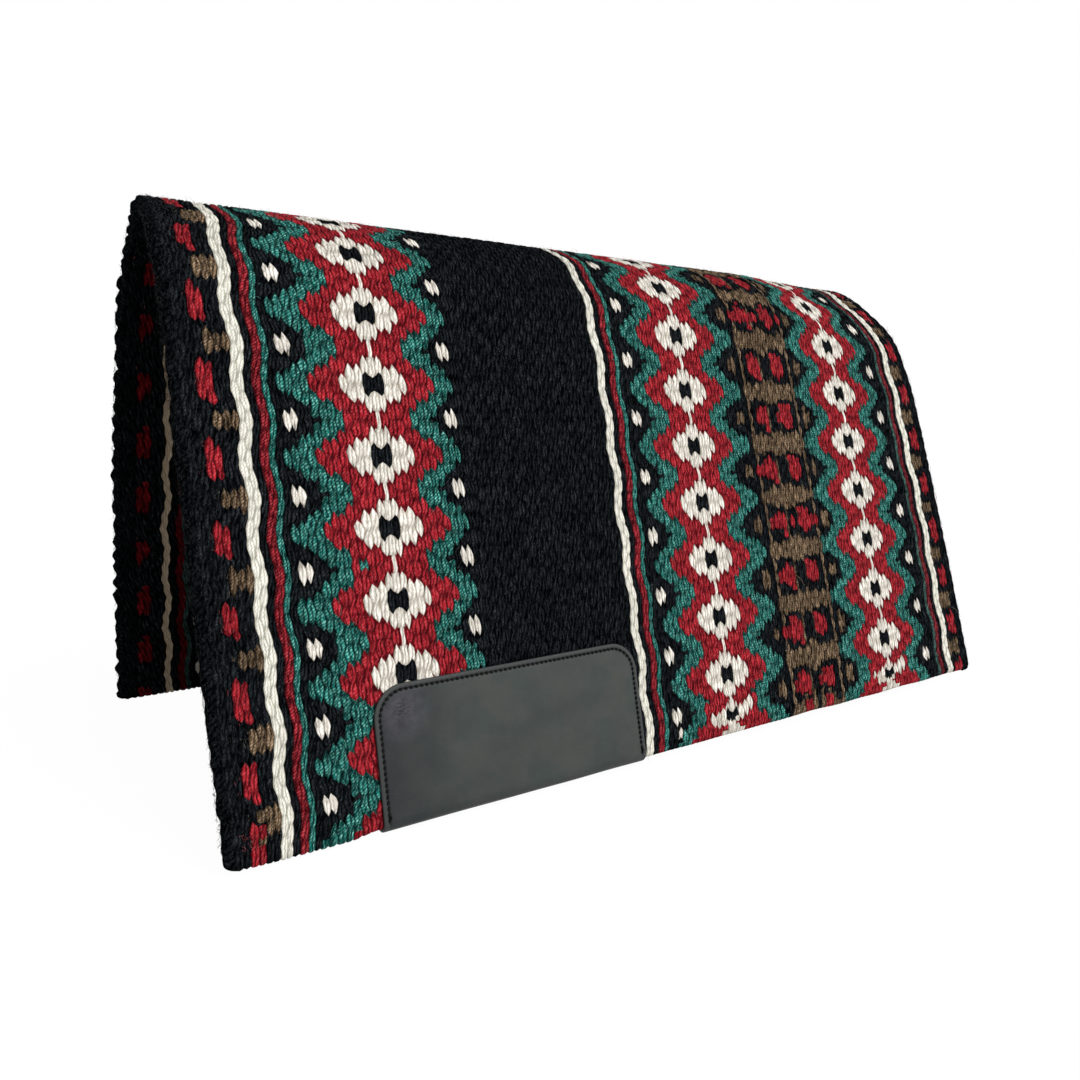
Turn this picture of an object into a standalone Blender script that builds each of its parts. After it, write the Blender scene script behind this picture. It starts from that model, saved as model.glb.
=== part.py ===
# Saddle blanket, hung over a rail: one thick woven cloth with a wear leather folded round each hem.
# Metres, +Z up, +X towards the horse's tail, -Y the near side. The origin is on the crest's underside.
# Each piece is drawn flat, as it is cut, and then draped: u runs along the spine from the front edge,
# s runs down from the crest on one side, and h is the height off the middle of the cloth, outwards.

import math

import bmesh
import bpy
from mathutils import Vector

# The cloth, as it is cut
SPINE_LENGTH = 0.8105
CLOTH_THICKNESS = 0.012
NEAR_DROP = 0.510
OFF_DROP = 0.506

# The drape: a round crest, then two flaps that flare outwards and hang steeper towards the hem
CREST_RADIUS = 0.106
CREST_FACETS = 17
FOLD_ANGLE = math.radians(68)
NEAR_FLARE_FRONT = math.radians(12.3)
NEAR_FLARE_REAR = math.radians(18.1)
OFF_FLARE = math.radians(17.2)
HANG_CURL = math.radians(0.83) / 0.1

# Ends of the cloth
EDGE_DEPTH = 0.0025
EDGE_THINNING = 0.72
HEM_DEPTH = 0.004
HEM_POINTS = 8
FLAP_STATIONS = 14
FLAP_ROWS = 9

# Room for the flaps to turn at the fold lines
GAP = 0.0003
OPEN_LIMIT = math.radians(75)
CLOSE_LIMIT = math.radians(22)
FOLD_POINTS = 8

# The wear leathers, each one sheet folded round the hem
LEATHER_START = 0.110
LEATHER_WIDTH = 0.2345
LEATHER_HEIGHT = 0.099
LEATHER_THICKNESS = 0.0022
LEATHER_CORNER = 0.016
LEATHER_COLUMNS = 10
LEATHER_ROWS = 5
CORNER_STEPS = 6
BEND_STEPS = 10

# The lockstitch seam, sunk in a groove round three sides of the leather
SEAM_INSET = 0.0042
THREAD_RADIUS = 0.00045
GROOVE_RADIUS = 0.0008
SEAM_SINK = 0.0002
SEAM_SPACING = 0.016

HALF = CLOTH_THICKNESS / 2
INNER_RADIUS = CREST_RADIUS - HALF
FACET_ANGLE = 2 * FOLD_ANGLE / CREST_FACETS
CENTRE_Z = -INNER_RADIUS * math.cos(FACET_ANGLE / 2)
FOLD_Y = CREST_RADIUS * math.sin(FOLD_ANGLE)
FOLD_Z = CENTRE_Z + CREST_RADIUS * math.cos(FOLD_ANGLE)
FOLD_S = CREST_RADIUS * FOLD_ANGLE
LEATHER_H = HALF + GAP + LEATHER_THICKNESS / 2
BEND_LENGTH = math.pi * LEATHER_H

NEAR, OFF = -1, 1


def material(name, color, roughness):
    made = bpy.data.materials.new(name)
    made.use_nodes = True
    shader = made.node_tree.nodes["Principled BSDF"]
    shader.inputs["Base Color"].default_value = (*color, 1)
    shader.inputs["Roughness"].default_value = roughness
    shader.inputs["Metallic"].default_value = 0
    return made


def flare(side, u):
    """How far the flap leans out of the vertical where it leaves the crest's curve."""
    if side == OFF:
        return OFF_FLARE
    return NEAR_FLARE_FRONT + (NEAR_FLARE_REAR - NEAR_FLARE_FRONT) * u / SPINE_LENGTH


def drape(side, u, s, h):
    """The place of a point of the flat cloth once it hangs over the rail."""
    lean = flare(side, u)
    arc_angle = math.pi / 2 - lean
    arc = CREST_RADIUS * arc_angle
    turned = min(s, arc) / CREST_RADIUS
    out = CREST_RADIUS * math.sin(turned)
    z = CENTRE_Z + CREST_RADIUS * math.cos(turned)
    run = max(s - arc, 0)
    mean_lean = lean - HANG_CURL * run / 2
    end_lean = lean - HANG_CURL * run
    out += run * math.sin(mean_lean)
    z -= run * math.cos(mean_lean)
    if run > 0:
        out += h * math.cos(end_lean)
        z += h * math.sin(end_lean)
    else:
        out += h * math.sin(turned)
        z += h * math.cos(turned)
    return Vector((u - SPINE_LENGTH / 2, side * out, z))


def new_object(name, bm, parent, paint, smooth_angle):
    """A named object whose origin sits where its parent does."""
    place = parent.location if parent else Vector((0, 0, 0))
    bmesh.ops.translate(bm, verts=bm.verts, vec=-place)
    bmesh.ops.recalc_face_normals(bm, faces=bm.faces)
    mesh = bpy.data.meshes.new(name)
    bm.to_mesh(mesh)
    bm.free()
    mesh.shade_smooth()
    mesh.set_sharp_from_angle(angle=smooth_angle)
    mesh.materials.append(paint)
    made = bpy.data.objects.new(name, mesh)
    made.parent = parent
    bpy.context.scene.collection.objects.link(made)
    return made


def loft(rings):
    """A closed body through rings of points that all have the same count."""
    bm = bmesh.new()
    rows = [[bm.verts.new(point) for point in ring] for ring in rings]
    count = len(rows[0])
    for first, second in zip(rows, rows[1:]):
        for i in range(count):
            j = (i + 1) % count
            bm.faces.new((first[i], first[j], second[j], second[i]))
    bm.faces.new(rows[0])
    bm.faces.new(reversed(rows[-1]))
    return bm


def with_edges(stations):
    """The stations along the spine, thinned at the two selvedges: (u, share of the thickness)."""
    inner = [(u, 1.0) for u in stations]
    return [(0.0, EDGE_THINNING), *inner, (SPINE_LENGTH, EDGE_THINNING)]


def fold_lip():
    """The end of the crest in section, hollowed round the fold line so that the flap turns both ways."""
    radius = HALF + GAP
    lowest = CLOSE_LIMIT - math.pi / 2
    highest = math.pi / 2 - OPEN_LIMIT
    angles = [lowest + (highest - lowest) * i / FOLD_POINTS for i in range(FOLD_POINTS + 1)]
    lip = [(-radius * math.cos(a), radius * math.sin(a)) for a in angles]
    # Each end of the hollow runs on along its tangent to the face of the cloth.
    inner = (lip[0][0] + (-HALF - lip[0][1]) * math.tan(lowest), -HALF)
    outer = (lip[-1][0] + (HALF - lip[-1][1]) * math.tan(highest), HALF)
    return [inner, *lip, outer]


def from_fold(side, u, along, out):
    """A point given from the fold line: along the cloth towards the hem, and off its middle."""
    tangent = Vector((0, side * math.cos(FOLD_ANGLE), -math.sin(FOLD_ANGLE)))
    normal = Vector((0, side * math.sin(FOLD_ANGLE), math.cos(FOLD_ANGLE)))
    base = Vector((u - SPINE_LENGTH / 2, side * FOLD_Y, FOLD_Z))
    return base + along * tangent + out * normal


def crest_ring(u, thinning):
    """The section of the crest at u, from the near lip over the top to the off lip and back."""
    half = HALF * thinning
    near_lip = [from_fold(NEAR, u, e, n * thinning) for e, n in fold_lip()]
    off_lip = [from_fold(OFF, u, e, n * thinning) for e, n in fold_lip()]
    steps = [FACET_ANGLE * (i - CREST_FACETS / 2) for i in range(1, CREST_FACETS)]

    def on_arc(angle, radius):
        return Vector((u - SPINE_LENGTH / 2, radius * math.sin(angle), CENTRE_Z + radius * math.cos(angle)))

    over = [on_arc(angle, CREST_RADIUS + half) for angle in steps]
    under = [on_arc(angle, CREST_RADIUS - half) for angle in reversed(steps)]
    return [*near_lip, *over, *reversed(off_lip), *under]


def woven_spine(parent, paint):
    bm = loft([crest_ring(u, share) for u, share in with_edges([EDGE_DEPTH, SPINE_LENGTH - EDGE_DEPTH])])
    return new_object("woven_spine", bm, parent, paint, math.radians(30))


def hem_outline(drop, under_leather):
    """The hem in section, outer face first: softly squared, or pressed round inside the leather."""
    if under_leather:
        centre = drop - HALF - GAP - LEATHER_THICKNESS
        return [
            (centre + HALF * math.sin(math.pi * i / (HEM_POINTS - 1)),
             HALF * math.cos(math.pi * i / (HEM_POINTS - 1)))
            for i in range(HEM_POINTS)
        ]
    points = []
    for i in range(HEM_POINTS):
        angle = math.pi * i / (HEM_POINTS - 1)
        squareness = 0.55
        across = math.copysign(abs(math.cos(angle)) ** squareness, math.cos(angle))
        points.append((drop - HEM_DEPTH + HEM_DEPTH * abs(math.sin(angle)) ** squareness, HALF * across))
    return points


def flap_ring(side, drop, u, thinning, under_leather):
    """The section of a flap at u, round its fold edge, down the outside, round the hem and up."""
    half = HALF * thinning
    fold = [
        from_fold(side, u, -half * math.sin(a), -half * math.cos(a))
        for a in (math.pi * i / FOLD_POINTS for i in range(FOLD_POINTS + 1))
    ]
    hem = [(s, h * thinning) for s, h in hem_outline(drop, under_leather)]
    lengths = [(i / FLAP_ROWS) ** 1.25 for i in range(1, FLAP_ROWS)]
    reach = hem[0][0] - FOLD_S
    down = [drape(side, u, FOLD_S + reach * part, half) for part in lengths]
    up = [drape(side, u, FOLD_S + reach * part, -half) for part in reversed(lengths)]
    return [*fold, *down, *[drape(side, u, s, h) for s, h in hem], *up]


def woven_flap(name, side, drop, parent, paint):
    step = (SPINE_LENGTH - 2 * EDGE_DEPTH) / FLAP_STATIONS
    plain = [EDGE_DEPTH + i * step for i in range(FLAP_STATIONS + 1)]
    leather_end = LEATHER_START + LEATHER_WIDTH
    inside = [u for u in plain if LEATHER_START + GAP < u < leather_end - GAP]
    outside = [u for u in plain if u < LEATHER_START - 4 * GAP or u > leather_end + 4 * GAP]
    stations = [(u, share, False) for u, share in with_edges(outside)]
    stations += [(LEATHER_START - 2 * GAP, 1.0, False), (leather_end + 2 * GAP, 1.0, False)]
    stations += [(u, 1.0, True) for u in (LEATHER_START - GAP, *inside, leather_end + GAP)]
    rings = [flap_ring(side, drop, *station) for station in sorted(stations)]
    return new_object(name, loft(rings), parent, paint, math.radians(30))


def round_hem(drop, v, w):
    """Folds the flat leather round the hem: v runs down from its outer top edge, w is off its middle."""
    straight = LEATHER_HEIGHT - LEATHER_H - LEATHER_THICKNESS / 2
    bend_s = drop - LEATHER_H - LEATHER_THICKNESS / 2
    if v < straight:
        return bend_s - straight + v, LEATHER_H + w
    if v < straight + BEND_LENGTH:
        angle = (v - straight) / LEATHER_H
        return bend_s + (LEATHER_H + w) * math.sin(angle), (LEATHER_H + w) * math.cos(angle)
    return bend_s - (v - straight - BEND_LENGTH), -LEATHER_H - w


def leather_rows():
    """(v, half width) down the flat leather, whose four corners are rounded."""
    straight = LEATHER_HEIGHT - LEATHER_H - LEATHER_THICKNESS / 2
    whole = 2 * straight + BEND_LENGTH
    half = LEATHER_WIDTH / 2
    rows = []
    for i in range(CORNER_STEPS + 1):
        angle = math.pi / 2 * i / CORNER_STEPS
        rows.append((LEATHER_CORNER * (1 - math.cos(angle)), half - LEATHER_CORNER * (1 - math.sin(angle))))
    for i in range(1, LEATHER_ROWS + 1):
        rows.append((LEATHER_CORNER + (straight - LEATHER_CORNER) * i / LEATHER_ROWS, half))
    for i in range(1, BEND_STEPS // 2):
        rows.append((straight + BEND_LENGTH * i / BEND_STEPS, half))
    mirrored = [(whole - v, width) for v, width in reversed(rows)]
    return [*rows, (whole / 2, half), *mirrored]


def wear_leather(name, side, drop, parent, paint):
    """One sheet of leather, folded round the hem so that it lies on both faces of the cloth."""
    middle = LEATHER_START + LEATHER_WIDTH / 2
    rings = []
    for v, half_width in leather_rows():
        across = [half_width * (2 * i / LEATHER_COLUMNS - 1) for i in range(LEATHER_COLUMNS + 1)]
        outer = [(middle + x, *round_hem(drop, v, LEATHER_THICKNESS / 2)) for x in across]
        inner = [(middle + x, *round_hem(drop, v, -LEATHER_THICKNESS / 2)) for x in reversed(across)]
        rings.append([drape(side, u, s, h) for u, s, h in (*outer, *inner)])
    return new_object(name, loft(rings), parent, paint, math.radians(35))


def seam_route(side, drop, outer):
    """The seam's middle line: up one side of the leather, round the corners and down the other."""
    straight = LEATHER_HEIGHT - LEATHER_H - LEATHER_THICKNESS / 2
    left = LEATHER_START + SEAM_INSET
    right = LEATHER_START + LEATHER_WIDTH - SEAM_INSET
    radius = LEATHER_CORNER - SEAM_INSET
    flat = []
    steps = round((straight - LEATHER_CORNER) / SEAM_SPACING)
    for i in range(steps):
        flat.append((left, straight - (straight - LEATHER_CORNER) * i / steps))
    for i in range(CORNER_STEPS + 1):
        angle = math.pi / 2 * i / CORNER_STEPS
        flat.append((left + radius * (1 - math.cos(angle)), SEAM_INSET + radius * (1 - math.sin(angle))))
    steps = round((right - left - 2 * radius) / SEAM_SPACING)
    for i in range(1, steps):
        flat.append((left + radius + (right - left - 2 * radius) * i / steps, SEAM_INSET))
    for i in range(CORNER_STEPS + 1):
        angle = math.pi / 2 * i / CORNER_STEPS
        flat.append((right - radius * (1 - math.sin(angle)), SEAM_INSET + radius * (1 - math.cos(angle))))
    steps = round((straight - LEATHER_CORNER) / SEAM_SPACING)
    for i in range(1, steps + 1):
        flat.append((right, LEATHER_CORNER + (straight - LEATHER_CORNER) * i / steps))
    route = []
    for u, v in flat:
        s, h = round_hem(drop, v, LEATHER_THICKNESS / 2 - SEAM_SINK)
        route.append(drape(side, u, s, h if outer else -h))
    return route


def tube(name, route, radius, parent, paint):
    """A round cord along a route, with closed ends."""
    place = parent.location
    curve = bpy.data.curves.new(name, "CURVE")
    curve.dimensions = "3D"
    curve.bevel_depth = radius
    curve.bevel_resolution = 1
    curve.use_fill_caps = True
    spline = curve.splines.new("POLY")
    spline.points.add(len(route) - 1)
    for point, at in zip(spline.points, route):
        point.co = (*(at - place), 1)
    curve.materials.append(paint)
    made = bpy.data.objects.new(name, curve)
    made.parent = parent
    bpy.context.scene.collection.objects.link(made)
    return made


def as_mesh_cutter(tube_object):
    """A hidden mesh copy of a tube, for cutting."""
    bpy.context.view_layer.update()
    graph = bpy.context.evaluated_depsgraph_get()
    mesh = bpy.data.meshes.new_from_object(tube_object.evaluated_get(graph))
    bm = bmesh.new()
    bm.from_mesh(mesh)
    bmesh.ops.remove_doubles(bm, verts=bm.verts, dist=0.00001)
    bmesh.ops.recalc_face_normals(bm, faces=bm.faces)
    bm.to_mesh(mesh)
    bm.free()
    cutter = bpy.data.objects.new(tube_object.name + "_cutter", mesh)
    cutter.parent = tube_object.parent
    cutter.hide_render = True
    cutter.display_type = "WIRE"
    bpy.context.scene.collection.objects.link(cutter)
    bpy.data.objects.remove(tube_object)
    return cutter


def sew(leather, label, side, drop, parent, thread_paint):
    """Cuts the stitch groove on both faces of the leather and lays the two threads in it."""
    for thread, outer in (("needle_thread", True), ("bobbin_thread", False)):
        route = seam_route(side, drop, outer)
        run_out = [route[0] + (route[0] - route[1]) * 0.25, *route, route[-1] + (route[-1] - route[-2]) * 0.25]
        groove = as_mesh_cutter(tube(f"{label}_{thread}_groove", run_out, GROOVE_RADIUS, parent, thread_paint))
        cut = leather.modifiers.new(thread, "BOOLEAN")
        cut.operation = "DIFFERENCE"
        cut.solver = "EXACT"
        cut.object = groove
        tube(f"{label}_{thread}", route, THREAD_RADIUS, parent, thread_paint)


def fold_line(label, side):
    """The line that a flap turns on, as an empty that carries the flap and what is sewn to it."""
    line = bpy.data.objects.new(f"{label}_fold_line", None)
    line.location = (0, side * FOLD_Y, FOLD_Z)
    bpy.context.scene.collection.objects.link(line)
    return line


def build():
    for thing in list(bpy.data.objects):
        bpy.data.objects.remove(thing)
    wool = material("woven wool", (0.012, 0.013, 0.016), 0.95)
    leather = material("wear leather", (0.055, 0.058, 0.060), 0.45)
    thread = material("waxed thread", (0.010, 0.010, 0.011), 0.6)
    woven_spine(None, wool)
    for label, side, drop in (("near", NEAR, NEAR_DROP), ("off", OFF, OFF_DROP)):
        line = fold_line(label, side)
        woven_flap(f"woven_{label}_flap", side, drop, line, wool)
        patch = wear_leather(f"{label}_wear_leather", side, drop, line, leather)
        sew(patch, label, side, drop, line, thread)


build()
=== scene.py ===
import math

import bpy
import numpy as np
from mathutils import Matrix, Vector


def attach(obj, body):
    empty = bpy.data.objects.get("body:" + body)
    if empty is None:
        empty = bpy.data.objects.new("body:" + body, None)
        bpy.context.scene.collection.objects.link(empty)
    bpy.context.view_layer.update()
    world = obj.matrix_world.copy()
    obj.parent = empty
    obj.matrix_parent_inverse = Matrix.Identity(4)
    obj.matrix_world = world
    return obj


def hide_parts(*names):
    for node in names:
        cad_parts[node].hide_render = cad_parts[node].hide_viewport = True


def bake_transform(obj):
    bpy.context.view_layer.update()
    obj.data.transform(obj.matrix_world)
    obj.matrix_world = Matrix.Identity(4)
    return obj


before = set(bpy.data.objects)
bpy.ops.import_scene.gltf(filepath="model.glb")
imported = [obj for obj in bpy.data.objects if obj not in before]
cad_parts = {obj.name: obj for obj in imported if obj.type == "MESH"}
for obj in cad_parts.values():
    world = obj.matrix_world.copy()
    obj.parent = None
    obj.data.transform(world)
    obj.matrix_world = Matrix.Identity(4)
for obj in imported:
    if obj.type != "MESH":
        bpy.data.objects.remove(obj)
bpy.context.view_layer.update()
print("frame loaded:", len(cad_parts), "CAD nodes")

near, off = -1, 1

# The hang of the cloth, as in the CAD source, but with hems about 4 mm lower. Metres and radians.
hang = {
    "spine": 0.8105,
    "half": 0.006,             # half of the thickness
    "drop": {near: 0.5145, off: 0.5095},
    "crestRadius": 0.106,      # to the middle of the thickness
    "facet": 2 * math.radians(68) / 17,
    "fold": math.radians(68),
    # how far each flap leans out, at its front end and at its rear end
    "flare": {near: (math.radians(12.3), math.radians(18.1)), off: (math.radians(17.2), math.radians(17.2))},
    "curl": math.radians(0.83) / 0.1,
}
spine, half = hang["spine"], hang["half"]
centreZ = -(hang["crestRadius"] - half) * math.cos(hang["facet"] / 2)


def flareOf(side, u):
    front, rear = hang["flare"][side]
    return front + (rear - front) * np.asarray(u) / spine


def drape(side, u, s, h):
    # u runs along the spine from the front, s down one side from the crest, h out from the middle of the cloth
    u, s, h = np.broadcast_arrays(np.asarray(u, float), np.asarray(s, float), np.asarray(h, float))
    radius, curl = hang["crestRadius"], hang["curl"]
    lean = flareOf(side, u)
    arc = radius * (math.pi / 2 - lean)
    turned = np.minimum(s, arc) / radius
    run = np.maximum(s - arc, 0)
    meanLean, endLean = lean - curl * run / 2, lean - curl * run
    straight = run > 0
    outward = np.where(straight, np.cos(endLean), np.sin(turned))
    upward = np.where(straight, np.sin(endLean), np.cos(turned))
    out = radius * np.sin(turned) + run * np.sin(meanLean) + h * outward
    z = centreZ + radius * np.cos(turned) - run * np.cos(meanLean) + h * upward
    return np.stack([u - spine / 2, side * out, z], -1)


def middleOf(side, u, outer):
    # turns a length along the outer face into one along the middle of the cloth
    radius = hang["crestRadius"]
    turn = math.pi / 2 - flareOf(side, u)
    return np.where(outer < (radius + half) * turn, outer * radius / (radius + half), outer - half * turn)


# Slow, smooth unevenness: how much there is of it, a seed, and its size in the units of its place
uneven = {
    "swing": (0.7, 40, 13),
    "ownSwing": (0.3, 41, 7),
    "across": (0.0004, 3, 14),
    "aslant": (0.35, 5, 3),
    "loops": (0.25, 6, 4),
    "face": (0.00025, 8, 9),
    "closeFace": (0.0002, 9, 3.5),
    "hem": (0.0006, 21, 11),
    "leather": (0.00018, 31, 60),
}


def wobble(name, x, y):
    most, seed, size = uneven[name]
    dice = np.random.default_rng(seed)
    total = 0
    for _ in range(5):
        kx, ky, shift = dice.uniform(-1, 1), dice.uniform(-1, 1), dice.uniform(0, 6.28)
        total = total + np.sin((kx * x + ky * y) * 6.28 / size + shift)
    return most * (total / 3.2)


def smooth(x):
    x = np.clip(x, 0, 1)
    return x * x * (3 - 2 * x)


def bump(x, middle, width):
    return np.exp(-(((x - middle) / width) ** 2))


# Meshes

def addPiece(name, points, faces, materials, paint=None):
    mesh = bpy.data.meshes.new(name)
    mesh.from_pydata(points, [], faces)
    if paint is not None:
        mesh.polygons.foreach_set("material_index", paint)
    mesh.polygons.foreach_set("use_smooth", [True] * len(faces))
    for material in materials:
        mesh.materials.append(material)
    return link(bpy.data.objects.new(name, mesh))


def link(obj):
    bpy.context.scene.collection.objects.link(obj)
    return obj


def cornersOf(mesh):
    corners = np.zeros(len(mesh.loops), np.int32)
    mesh.loops.foreach_get("vertex_index", corners)
    return corners


def addFlat(mesh, name, values):
    mesh.uv_layers.new(name=name).data.foreach_set("uv", values.astype(np.float32).ravel())


def addValues(mesh, name, domain, values):
    mesh.attributes.new(name, "FLOAT", domain).data.foreach_set("value", values.astype(np.float32))


# Nodes

class Nodes:
    # a few short cuts for building a material
    def __init__(self, owner):
        owner.use_nodes = True
        self.tree = owner.node_tree
        self.tree.nodes.clear()

    def put(self, node, name, value):
        if isinstance(value, bpy.types.Node):
            value = value.outputs[0]
        if isinstance(value, bpy.types.NodeSocket):
            self.tree.links.new(value, node.inputs[name])
        else:
            node.inputs[name].default_value = value

    def add(self, kind, settings=None, given=(), **inputs):
        # given fills the inputs in their order, the others go by name
        node = self.tree.nodes.new("ShaderNode" + kind)
        for name, value in (settings or {}).items():
            setattr(node, name, value)
        for place, value in enumerate(given):
            self.put(node, place, value)
        for name, value in inputs.items():
            self.put(node, name.replace("_", " "), value)
        return node

    def math(self, operation, *values):
        return self.add("Math", {"operation": operation}, values).outputs[0]

    def times(self, product, *values):
        for value in values:
            product = self.math("MULTIPLY", product, value)
        return product

    def plus(self, total, *values):
        for value in values:
            total = self.math("ADD", total, value)
        return total

    def mix(self, factor, first, second, blend="MIX"):
        node = self.add("Mix", {"data_type": "RGBA", "blend_type": blend})
        for place, value in ((0, factor), (6, first), (7, second)):
            self.put(node, place, value)
        return node.outputs[2]

    def noise(self, vector, scale, detail=2.0, roughness=0.5):
        return self.add("TexNoise", Vector=vector, Scale=scale, Detail=detail, Roughness=roughness).outputs["Fac"]

    def spread(self, value, low, high, newLow=0.0, newHigh=1.0):
        return self.add("MapRange", None, (value, low, high, newLow, newHigh)).outputs[0]

    def flat(self, name):
        return self.add("UVMap", {"uv_map": name}).outputs[0]

    def parts(self, vector):
        return self.add("SeparateXYZ", Vector=vector).outputs[:2]

    def value(self, name):
        return self.add("Attribute", {"attribute_name": name}).outputs["Fac"]

    def seen(self):
        # 1 for the camera and for what it sees by reflection or through glass
        path = self.add("LightPath").outputs
        others = self.math("MAXIMUM", path["Is Glossy Ray"], path["Is Transmission Ray"])
        return self.math("MAXIMUM", path["Is Camera Ray"], others)

    def coat(self, body, rough, shine, height=None, strength=0.0, distance=0.0):
        shader = self.add("BsdfPrincipled", Base_Color=body, Roughness=rough, Specular_IOR_Level=shine)
        if height is not None:
            self.put(shader, "Normal", self.add("Bump", Strength=strength, Distance=distance, Height=height))
        self.add("OutputMaterial", Surface=shader)


def linear(*levels):
    # a colour read off the photograph, 0 to 255, as Blender wants it
    shares = [level / 255 for level in levels]
    return tuple(c / 12.92 if c <= 0.04045 else ((c + 0.055) / 1.055) ** 2.4 for c in shares) + (1,)


# Yarns. The first colour is painted shade, in the hollows between the strands and round the floats; the second is the
# strand;
# the third its pale flecks, laid on the strand crowns, so partly a painted highlight. twist, fleck, vary and gap say
# how much there is of each, twist and gap as painted shade in the ply lines and round each float; even is how little
# the strands show.
def yarn(betweenShade, plain, fleckHighlight, **own):
    usual = {"twist": 0.6, "fleck": 0.6, "vary": 0.25, "even": 0.2, "gap": 0.3, "shine": 0.02, "rough": 0.9}
    return {"betweenShade": betweenShade, "plain": plain, "fleckHighlight": fleckHighlight, **usual, **own}


yarns = {
    "black": yarn((0, 1, 2), (28, 31, 34), (70, 74, 78), twist=0.2, vary=0.3, even=0.0, gap=0.4, shine=0.0, rough=0.95),
    "teal": yarn((0, 16, 18), (24, 124, 114), (166, 232, 216),
                 fleck=0.85, vary=0.2, even=0.1, gap=0.75, shine=0.03, rough=0.85),
    "red": yarn((34, 2, 6), (180, 34, 46), (226, 112, 116),
                twist=0.3, fleck=0.5, vary=0.16, gap=0.5, shine=0.03, rough=0.8),
    "cream": yarn((132, 122, 104), (253, 247, 238), (255, 254, 250),
                  twist=0.3, fleck=0.4, vary=0.07, even=0.42, gap=0.16),
    "brown": yarn((16, 10, 6), (126, 102, 78), (200, 178, 150), twist=0.5, fleck=0.8, vary=0.3, even=0.1, gap=0.45),
    "dullTeal": yarn((8, 20, 20), (52, 92, 86), (150, 166, 158), twist=0.8, fleck=0.9),
    "dullRed": yarn((26, 4, 8), (132, 32, 44), (176, 112, 114)),
    "ropeRed": yarn((24, 0, 4), (166, 38, 48), (214, 112, 116),
                    twist=0.8, vary=0.2, even=0.1, gap=0.4, shine=0.03, rough=0.8),
    "ropeCream": yarn((146, 142, 124), (255, 252, 240), (255, 255, 250), fleck=0.4, vary=0.04, even=0.6, gap=0.25),
    # darker copies of the red and the cream for the inner face: painted shade
    "shadedInsideRed": yarn((20, 0, 2), (118, 16, 24), (160, 62, 66), twist=0.5, fleck=0.4, gap=0.4),
    "insideCream": yarn((140, 112, 82), (255, 240, 214), (255, 250, 236), twist=0.7, fleck=0.5, vary=0.06, even=0.7),
}


def yarnMaterial(name, look):
    material = bpy.data.materials.new("wool_" + name)
    n = Nodes(material)
    twist, even = look["twist"], look["even"]
    place = n.flat("weave")
    column, pick = n.parts(place)
    ownAcross, ownAlong = n.parts(n.flat("strand"))
    # two strands in a float, leaning from its one corner to the other, and not quite straight
    bent = n.math("MULTIPLY_ADD", n.noise(place, 1.3), 0.9, -0.45)
    strand = n.plus(ownAcross, bent, n.times(n.math("SUBTRACT", ownAlong, 0.5), 0.75))
    crown = n.math("POWER", n.times(n.math("PINGPONG", strand, 0.5), 2.0), 0.75)
    # the ply twists round each strand
    turn = n.plus(n.times(pick, 2.7), n.times(n.math("FRACT", strand), 0.9))
    ply = n.times(n.math("PINGPONG", turn, 0.5), 2.0)
    slanted = n.plus(column, n.times(pick, 0.1))
    fibre, fine = (
        n.noise(n.add("CombineXYZ", X=n.times(slanted, wide), Y=n.times(pick, long), Z=layer), 1.0, 4.0, 0.8)
        for wide, long, layer in ((3.4, 0.8, 0.0), (3.2, 2.2, 4.0)))
    # painted shade: darker low in the relief, between the strands and in the ply lines; the fibre streaks are the
    # yarn's own
    depth = n.times(
        n.spread(n.value("lift"), 0.12, 0.75, 0.1, 1.0),
        n.spread(crown, 0.1, 0.75, 0.12 + 0.5 * even, 1.0),
        n.spread(ply, 0.0, 1.0, 1.0 - 0.6 * twist, 1.0),
        n.spread(fibre, 0.4, 0.6, even, 1.3))
    # painted shade in the corners round each float, where it dips between its neighbours
    fromMiddle = n.math("ABSOLUTE", n.math("MULTIPLY_ADD", ownAlong, 2.0, -1.0))
    lens = n.plus(n.math("ABSOLUTE", ownAcross), n.times(n.math("POWER", fromMiddle, 2.5), 0.4))
    depth = n.math("MINIMUM", n.times(depth, n.spread(lens, 0.68, 1.15, 1.0, 1.0 - look["gap"])), 1.0)
    body = n.mix(depth, linear(*look["betweenShade"]), linear(*look["plain"]))
    # pale flecks where the strand stands high: the yarn's own flecks, and a painted highlight on the crowns
    onPly = n.spread(ply, 0.35, 0.9, 0.3 - 0.28 * twist, 1.0)
    highlightFlecks = n.times(n.spread(fine, 0.44, 0.58), depth, onPly, look["fleck"])
    body = n.mix(highlightFlecks, body, linear(*look["fleckHighlight"]))
    # each float has its own shade, and there are slow patches
    tone = n.spread(n.value("tone"), 0.0, 1.0, 1 - look["vary"], 1 + look["vary"])
    shade = n.times(tone, n.spread(n.noise(place, 0.35), 0.3, 0.7, 0.93, 1.06))
    body = n.mix(1.0, body, n.add("CombineXYZ", X=shade, Y=shade, Z=shade), "MULTIPLY")
    height = n.plus(n.times(crown, 0.7), n.times(ply, 0.3 * twist + 0.06), n.times(fibre, 0.7), n.times(fine, 0.4))
    n.coat(body, look["rough"], look["shine"], height, 0.9, 0.0009)
    return material


yarnOrder = list(yarns)
yarnMaterials = [yarnMaterial(name, yarns[name]) for name in yarnOrder]
print("yarns mixed:", ", ".join(yarnOrder))

# The pattern, counted in columns across and picks down. The middle columns of the three diamond bands,
# and of the brown and red band:
first, second, third = 24, 79, 118
middle = 99
weave = {
    "columns": 143,
    "pick": 0.053 / 8,
    "pitch": 8,
    "start": 6.288,            # picks from the crest to the first diamond
    "relief": 0.0018,
    "proud": 0.0006,
    "lens": 0.33,              # how much a float narrows at its ends, in columns
    "lean": 0.11,
    "ragged": 0.24,            # how far a cell may end from its place, in picks
    "raggedMiddle": 0.36,
    "wave": 0.032 * 0.053,     # how far the stripes swing sideways
}
columnLines = np.arange(weave["columns"] + 1)
columnWidth = spine / weave["columns"]
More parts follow.
